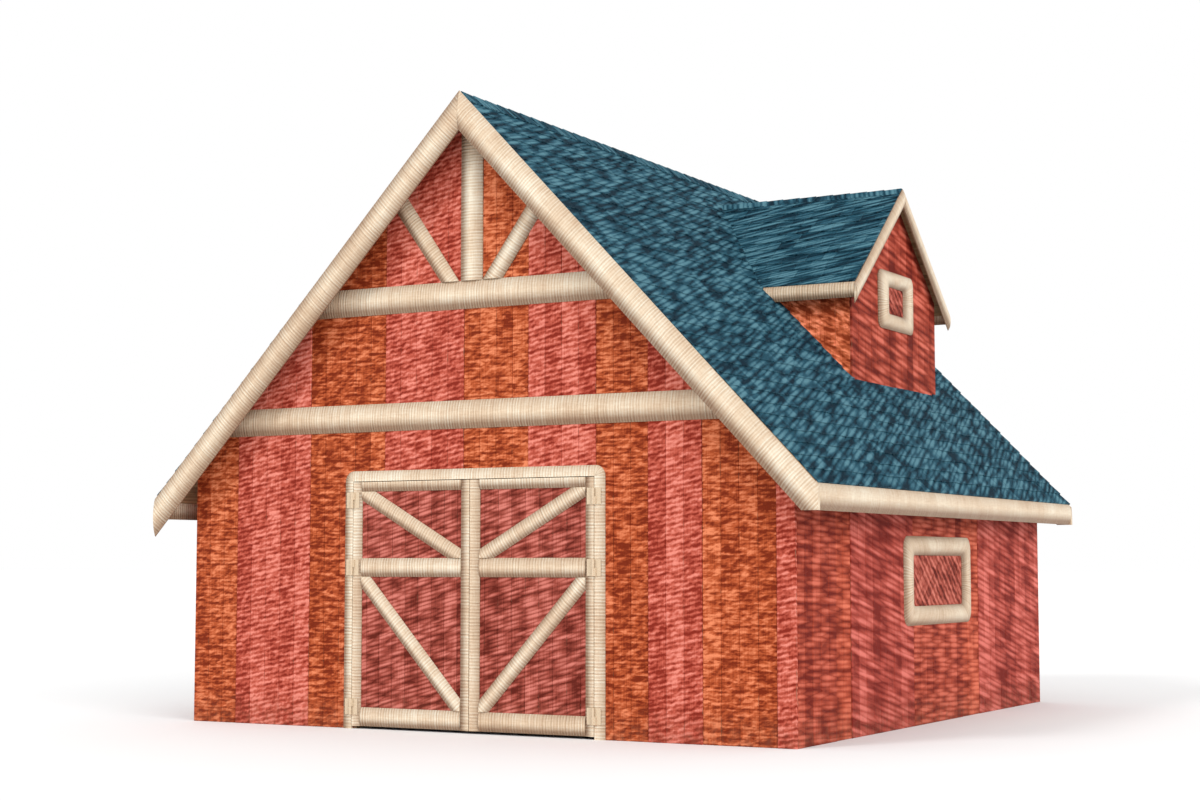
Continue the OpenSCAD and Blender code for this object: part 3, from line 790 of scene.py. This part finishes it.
# ---------------------------------------------------------------- shingled roofs
def shingles(piece, plane, outline, u0, u1, v0, v1, skip=None, course=0.19, lap=0.075):
    """Courses from the eave (v0) up; every shingle is a thin wedge, thickest at its butt."""
    for r in range(math.ceil((v1 - v0) / course)):
        lo = v0 + r * course
        hi = lo + course + lap
        u = u0 - rng.uniform(0.0, 0.18)
        while u < u1:
            w = rng.uniform(0.12, 0.235)
            a, b = u + 0.002, u + w - 0.002
            drop = rng.uniform(-0.008, 0.008) if r else 0.0
            poly = clip_to(rectangle(a, b, lo + drop, hi), outline)
            u += w
            if len(poly) < 3 or area(poly) < 0.0008:
                continue
            middle = sum(q[0] for q in poly) / len(poly), sum(q[1] for q in poly) / len(poly)
            if skip and skip(*middle):
                continue
            lean = rng.uniform(-0.002, 0.002)

            def lift(x, y, lo=lo, hi=hi, lean=lean):
                return SHINGLE_TOP + SHINGLE_TAPER * (hi - y) / (hi - lo) + lean
            piece.prism(poly, plane, 0.0005, [(0.0, -0.002), (0.0025, 0.0)], lift=lift)


def ridge_caps(piece, start, end, side, pitch, z_apex, length, width, along):
    """Overlapping caps on both sides of a ridge that runs from start to end along x or y."""
    count = max(1, round(abs(end - start) / length))
    step = (end - start) / count
    lap = 0.05 * (1 if step > 0 else -1)
    for s in (1, -1):
        if along == "y":
            plane = Plane((side, 0, z_apex), (0, s, 0), (-s * math.cos(pitch), 0, math.sin(pitch)))
        else:
            plane = Plane((0, side, z_apex), (s, 0, 0), (0, s * math.cos(pitch), math.sin(pitch)))
        for i in range(count):
            a, b = start + i * step, start + (i + 1) * step + lap
            ua, ub = sorted((a * s, b * s))
            rises = (b > a) != (s > 0)

            def lift(x, y, ua=ua, ub=ub, rises=rises):
                t = (x - ua) / (ub - ua)
                return 0.018 + 0.010 * (t if rises else (1 - t))
            piece.prism(rectangle(ua, ub, -width, 0.0), plane, 0.004, [(0.0, -0.003), (0.003, 0.0)],
                        weights=[1, 1, 0, 1], grain=(1, 0), lift=lift)


def under_dormer(u, v):
    """Whether a place on the right slope is hidden inside the dormer."""
    x = -v * COS
    if abs(u - DY) > DW - 0.10 or x > DXF - 0.10:
        return False
    return over(x) < DECK_TOP - abs(u - DY) * DTAN - 0.05


slope = (EX + 0.02) / COS
for name, s, skip in (("left_shingles", -1, None), ("right_shingles", 1, under_dormer)):
    plane = Plane((0, 0, ROOF_TOP), (0, s, 0), (-s * COS, 0, SIN))
    p = Piece()
    shingles(p, plane, rectangle(-EY, EY, -slope, 0), -EY, EY, -slope, -0.02, skip=skip)
    p.build(name, [teal], "barn")
p = Piece()
ridge_caps(p, -EY, EY, 0.0, PITCH, ROOF_TOP, length=0.24, width=0.15, along="y")
p.build("ridge_caps", [teal], "barn")

dormer_slope = (DEXT + 0.01) / DCOS
x_apex = (ROOF_TOP - DECK_TOP) / TAN
x_eave = (ROOF_TOP - (DECK_TOP - DEXT * DTAN)) / TAN
p = Piece()
for s in (1, -1):
    plane = Plane((0, DY, DECK_TOP), (s, 0, 0), (0, s * DCOS, DSIN))
    pts = mirrored([(x_eave - 0.06, -dormer_slope), (DXE, -dormer_slope), (DXE, 0.0),
                    (x_apex - 0.06, 0.0)], s < 0)
    us = [q[0] for q in pts]
    shingles(p, plane, pts, min(us), max(us), -dormer_slope, -0.02, course=0.17)
p.build("dormer_shingles", [teal], "barn")
p = Piece()
ridge_caps(p, DXE, x_apex - 0.02, DY, DPITCH, DECK_TOP, length=0.22, width=0.12, along="x")
p.build("dormer_ridge_caps", [teal], "barn")

# ---------------------------------------------------------------- bargeboards, eave boards and bands
barge_lo, barge_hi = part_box("front_bargeboards")
fascia_lo, fascia_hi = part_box("eave_fascias")
BARGE = barge_hi.y - barge_lo.y                              # the bargeboards' thickness
BARGE_DROP = barge_hi.z - barge_hi.x * TAN - barge_lo.z      # their width, measured plumb


def barge_pair(name, plane, node, flip):
    """Two bargeboards that meet at the ridge, one cut plumb at its foot and one cut level."""
    gap = 0.0015
    xe = barge_hi.x

    def top(x):
        return barge_hi.z - abs(x) * TAN

    x_cut = (barge_hi.z - BARGE_DROP - fascia_lo.z) / TAN
    plumb = [(-xe, top(xe) - BARGE_DROP), (-gap, top(0) - BARGE_DROP), (-gap, top(0)), (-xe, top(xe))]
    level = [(gap, top(0) - BARGE_DROP), (x_cut, fascia_lo.z), (xe, fascia_lo.z), (xe, top(xe)),
             (gap, top(0))]
    p = Piece()
    for poly, s in ((plumb, -1), (level, 1)):
        s = -s if flip else s
        p.moulding(mirrored(poly, flip), plane, 0, BARGE + 0.006, (COS, -SIN * s))
    p.trim(name, node)


barge_pair("front_barge", Plane((0, barge_hi.y, 0), (1, 0, 0), (0, 0, 1)), "front_bargeboards", False)
rear_barge_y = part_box("rear_bargeboards")[0].y
barge_pair("rear_barge", Plane((0, rear_barge_y, 0), (-1, 0, 0), (0, 0, 1)), "rear_bargeboards", True)

p = Piece()
for s in (1, -1):
    p.moulding(rectangle(-EY, EY, fascia_lo.z, fascia_hi.z), Plane((EX * s, 0, 0), (0, s, 0), (0, 0, 1)),
               0, fascia_hi.x - EX + 0.004, (1, 0))
p.trim("eave_boards", "eave_fascias")


def bands(name, plane, node):
    """The two level bands across a gable, cut to its slope."""
    p = Piece()
    lo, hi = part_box(node)
    for z0, z1 in ((lo.z, lo.z + BAND), (hi.z - BAND, hi.z)):
        x0, x1 = (RIDGE - z0) / TAN - CLEAR, (RIDGE - z1) / TAN - CLEAR
        p.moulding([(-x0, z0), (x0, z0), (x1, z1), (-x1, z1)], plane, -LET_IN, hi.y - lo.y + 0.008, (1, 0))
    p.trim(name, node)


bands("front_band_boards", front, "front_bands")
bands("rear_band_boards", rear, "rear_bands")

# ---------------------------------------------------------------- king post and braces
truss_lo, truss_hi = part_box("gable_truss")
TRUSS = truss_hi.y - truss_lo.y
POST = 0.135                            # half the king post's width
BRACE = 0.20                            # a brace's width
BRACE_TURN = math.radians(36)           # from plumb
z0 = truss_lo.z
shoulder = RIDGE - POST * TAN - CLEAR
p = Piece()
p.moulding([(-POST, z0), (POST, z0), (POST, shoulder), (0, RIDGE - CLEAR), (-POST, shoulder)],
           front, -LET_IN, TRUSS + 0.008, (0, 1))
for s in (1, -1):
    du, dv = math.sin(BRACE_TURN), math.cos(BRACE_TURN)
    wu, wv = dv * BRACE, -du * BRACE
    bar = [(POST - du * 0.6, z0 - dv * 0.6), (POST - du * 0.6 + wu, z0 - dv * 0.6 + wv),
           (POST + du * 3 + wu, z0 + dv * 3 + wv), (POST + du * 3, z0 + dv * 3)]
    room = [(POST + 0.001, z0), ((RIDGE - z0) / TAN - CLEAR, z0), (POST + 0.001, shoulder)]
    p.moulding(mirrored(clip_to(bar, room), s < 0), front, -LET_IN, TRUSS + 0.004, (du * s, dv))
p.trim("gable_truss_boards", "gable_truss")

# ---------------------------------------------------------------- windows
frame_lo, frame_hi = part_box("side_window_frames")
p = Piece()
for s, plane in ((1, right), (-1, left)):
    p.loop(rounded(*sorted((frame_lo.y * s, frame_hi.y * s)), frame_lo.z, frame_hi.z, 0.126),
           rounded(*sorted((win_lo.y * s, win_hi.y * s)), win_lo.z, win_hi.z, 0.05),
           plane, -LET_IN, half_rounds(frame_hi.x - HW + 0.006))
p.trim("side_window_surrounds", "side_window_frames")


def shutter_boards(p, plane, u0, u1, v0, v1, width):
    """Slanting boards that fill a window."""
    turn, gap, proud = math.radians(38), 0.003, 0.002
    outline = rectangle(u0, u1, v0, v1)
    ca, sa = math.cos(turn), math.sin(turn)
    cu, cv = (u0 + u1) / 2, (v0 + v1) / 2
    reach = math.hypot(u1 - u0, v1 - v0) / 2 + width
    k = -reach
    while k < reach:
        far = k + width - gap
        bar = [(cu + ca * r - sa * side, cv + sa * r + ca * side)
               for r, side in ((-reach, k), (reach, k), (reach, far), (-reach, far))]
        poly = clip_to(bar, outline)
        if len(poly) >= 3 and area(poly) > 0.0004:
            z = rng.uniform(-0.001, 0.001)
            p.prism(poly, plane, -SKIN, [(0.0, proud - 0.005 + z), (0.0035, proud + z)], grain=(ca, sa))
        k += width


p = Piece()
for s, plane in ((1, right), (-1, left)):
    shutter_boards(p, plane, *sorted((win_lo.y * s, win_hi.y * s)), win_lo.z, win_hi.z, 0.11)
p.build("side_shutter_boards", [hatch_red], "barn", ("side_window_shutters",))

# ---------------------------------------------------------------- dormer
foot = over(DXF) - 0.001
dormer_gable = [(DY - DW, foot), (DY + DW, foot), (DY + DW, DEAVE), (DY, DEAVE + DW * DTAN),
                (DY - DW, DEAVE)]
p = Piece()
boards(p, dormer_face, dormer_gable, DY - DW, DY + DW, one_paint,
       holes=[(hatch_lo.y, hatch_hi.y, hatch_lo.z, hatch_hi.z)])
p.build("dormer_front_boards", [dormer_red], "barn", ("dormer_front_wall",))
p = Piece()
for s in (-1, 1):
    plane = Plane((0, DY + s * DW, 0), (-s, 0, 0), (0, 0, 1))
    x_back, x_front = (ROOF_TOP - DEAVE) / TAN, DXF - SKIN
    outline = mirrored([(x_front, over(x_front)), (x_front, DEAVE), (x_back, DEAVE)], s > 0)
    boards(p, plane, outline, *((-x_front, -x_back) if s > 0 else (x_back, x_front)), one_paint)
p.build("dormer_cheek_boards", [cheek_orange_brightened], "barn", ("dormer_cheeks",))

lo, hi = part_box("dormer_bargeboards")
thick = hi.x - lo.x + 0.006
half = (hi.y - lo.y) / 2
eave = hi.z - half * DTAN
drop = eave - lo.z
plane = Plane((lo.x, 0, 0), (0, 1, 0), (0, 0, 1))
p = Piece()
p.moulding([(DY - half, lo.z), (DY - 0.001, hi.z - drop), (DY - 0.001, hi.z), (DY - half, eave)],
           plane, 0, thick, (DCOS, DSIN))
p.moulding([(DY + 0.001, hi.z - drop), (DY + half, lo.z), (DY + half, eave), (DY + 0.001, hi.z)],
           plane, 0, thick, (DCOS, -DSIN))
p.trim("dormer_barge", "dormer_bargeboards")

lo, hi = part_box("dormer_fascias")
p = Piece()
for s in (-1, 1):
    poly = [((ROOF_TOP - lo.z) / TAN, lo.z), (hi.x, lo.z), (hi.x, hi.z), ((ROOF_TOP - hi.z) / TAN, hi.z)]
    p.moulding(mirrored(poly, s > 0), Plane((0, DY + s * DEXT, 0), (-s, 0, 0), (0, 0, 1)),
               0, hi.y - DY - DEXT + 0.004, (1, 0))
p.trim("dormer_eave_boards", "dormer_fascias")

lo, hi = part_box("dormer_window_frame")
p = Piece()
p.loop(rounded(lo.y, hi.y, lo.z, hi.z, 0.105),
       rounded(hatch_lo.y, hatch_hi.y, hatch_lo.z, hatch_hi.z, 0.03), dormer_face,
       -LET_IN, half_rounds(hi.x - DXF + 0.004))
p.trim("dormer_window_surround", "dormer_window_frame")
p = Piece()
shutter_boards(p, dormer_face, hatch_lo.y, hatch_hi.y, hatch_lo.z, hatch_hi.z, 0.09)
p.build("dormer_shutter_boards", [hatch_red], "barn", ("dormer_window_shutter",))

# ---------------------------------------------------------------- door casing
lo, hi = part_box("door_casing_head")
CASING = hi.y - lo.y                    # its thickness, and the leaves' trim's
CORNER = 0.11
outer = [(hi.x, 0.0), (hi.x, DOOR_TOP * 0.5)]
inner = [(DHW, 0.0), (DHW, DOOR_TOP * 0.5)]
for k in range(9):
    a = math.radians(90 * k / 8)
    outer.append((hi.x - CORNER + CORNER * math.cos(a), hi.z - CORNER + CORNER * math.sin(a)))
    inner.append((DHW, DOOR_TOP))
outer += mirrored(outer)
inner += mirrored(inner)
p = Piece()
p.loop(outer, inner, front, -LET_IN, half_rounds(CASING, 9, HALVES[0], FLAT_ROUND), closed=False,
       symmetric=False)
p.trim("door_casing", "door_casing_jambs", "door_casing_head")

# ---------------------------------------------------------------- door leaves
RAIL, MID_RAIL_AT, LEAF_BRACE = 0.20, 0.61, 0.165   # the middle rail's place is a share of the height
for side, s in (("right", 1), ("left", -1)):
    lo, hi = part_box(f"{side}_door_boards")
    rail_lo, rail_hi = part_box(f"{side}_door_rails")
    top_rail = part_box(f"{side}_door_braces")[1].z
    body = f"{side}_leaf"
    x_in, x_out = (lo.x, hi.x) if s > 0 else (-hi.x, -lo.x)
    r_in, r_out = (rail_lo.x, rail_hi.x) if s > 0 else (-rail_hi.x, -rail_lo.x)
    z0, z1 = lo.z, hi.z
    mid = z0 + (z1 - z0) * MID_RAIL_AT

    p = Piece()
    outline = mirrored(rectangle(x_in, x_out, z0, z1), s < 0)
    us = [q[0] for q in outline]
    boards(p, front, outline, min(us), max(us), one_paint, width=LEAF_BOARD, thick=hi.y - lo.y, extra=0.003)
    p.build(f"{side}_leaf_boards", [door_red], body, (f"{side}_door_boards",))

    p = Piece()
    for a, b, span in ((r_out, x_out, HALVES[s > 0]), (x_in, r_in, HALVES[s < 0])):
        p.moulding(mirrored(rectangle(a, b, z0, z1), s < 0), front, -LEAF_LET_IN, CASING, (0, 1), span,
                   FLAT_ROUND)
    p.trim(f"{side}_leaf_stiles", f"{side}_door_stiles", body=body)

    p = Piece()
    for a, b, span in ((z0, z0 + RAIL, (0.0, 1.0)), (mid, mid + RAIL, (0.0, 1.0)),
                       (top_rail, z1, HALVES[0])):
        p.moulding(mirrored(rectangle(r_in, r_out, a, b), s < 0), front, -LEAF_LET_IN, CASING, (1, 0), span,
                   FLAT_ROUND)
    p.trim(f"{side}_leaf_rails", f"{side}_door_rails", body=body)

    p = Piece()
    for a, b in ((z0 + RAIL, mid), (mid + RAIL, top_rail)):
        turn = math.atan2(b - a, r_out - r_in)
        h = LEAF_BRACE / math.cos(turn) / 2
        past = 0.3
        rise = past * math.tan(turn)
        bar = [(r_in - past, a - rise - h), (r_out + past, b + rise - h),
               (r_out + past, b + rise + h), (r_in - past, a - rise + h)]
        p.moulding(mirrored(clip_to(bar, rectangle(r_in, r_out, a, b)), s < 0), front, -LEAF_LET_IN,
                   CASING - 0.001, (math.cos(turn), math.sin(turn) * s))
    p.trim(f"{side}_leaf_braces", f"{side}_door_braces", body=body)

# ---------------------------------------------------------------- stage, light, camera
sc = bpy.context.scene
sc.view_settings.view_transform = "Standard"
FLOOR = 400.0
floor_mesh = bpy.data.meshes.new("floor")
floor_mesh.from_pydata([(u, v, 0) for u, v in rectangle(-FLOOR, FLOOR, -FLOOR, FLOOR)], [], [(0, 1, 2, 3)])
floor = bpy.data.objects.new("floor", floor_mesh)
sc.collection.objects.link(floor)
floor_paint = bpy.data.materials.new("stage_floor")
floor_paint.use_nodes = True
floor_bsdf = floor_paint.node_tree.nodes["Principled BSDF"]
floor_bsdf.inputs["Base Color"].default_value = (0.80, 0.80, 0.80, 1)
floor_bsdf.inputs["Roughness"].default_value = 0.9
floor_mesh.materials.append(floor_paint)

world = bpy.data.worlds.new("studio")
sc.world = world
world.use_nodes = True
background = world.node_tree.nodes["Background"]
background.inputs["Color"].default_value = (1.0, 1.0, 1.0, 1)
background.inputs["Strength"].default_value = 1.0

for name, energy, angle, towards in (("key", 1.0, 14, (0.42, 0.85, -0.72)),
                                     ("fill", 1.7, 40, (-0.92, 0.52, -0.38))):
    sun = bpy.data.lights.new(name, "SUN")
    sun.energy = energy
    sun.angle = math.radians(angle)
    lamp = bpy.data.objects.new(name, sun)
    lamp.rotation_euler = Vector(towards).to_track_quat("-Z", "Y").to_euler()
    sc.collection.objects.link(lamp)

cam = bpy.data.cameras.new("camera")
cam.sensor_width = 36.0
cam.lens = 61.4
cam.clip_end = 600
camera = bpy.data.objects.new("camera", cam)
camera.location = (11.63, -22.06, 1.76)
camera.rotation_euler = (math.radians(90 + 4.59), 0, math.radians(29.03))
sc.collection.objects.link(camera)
sc.camera = camera
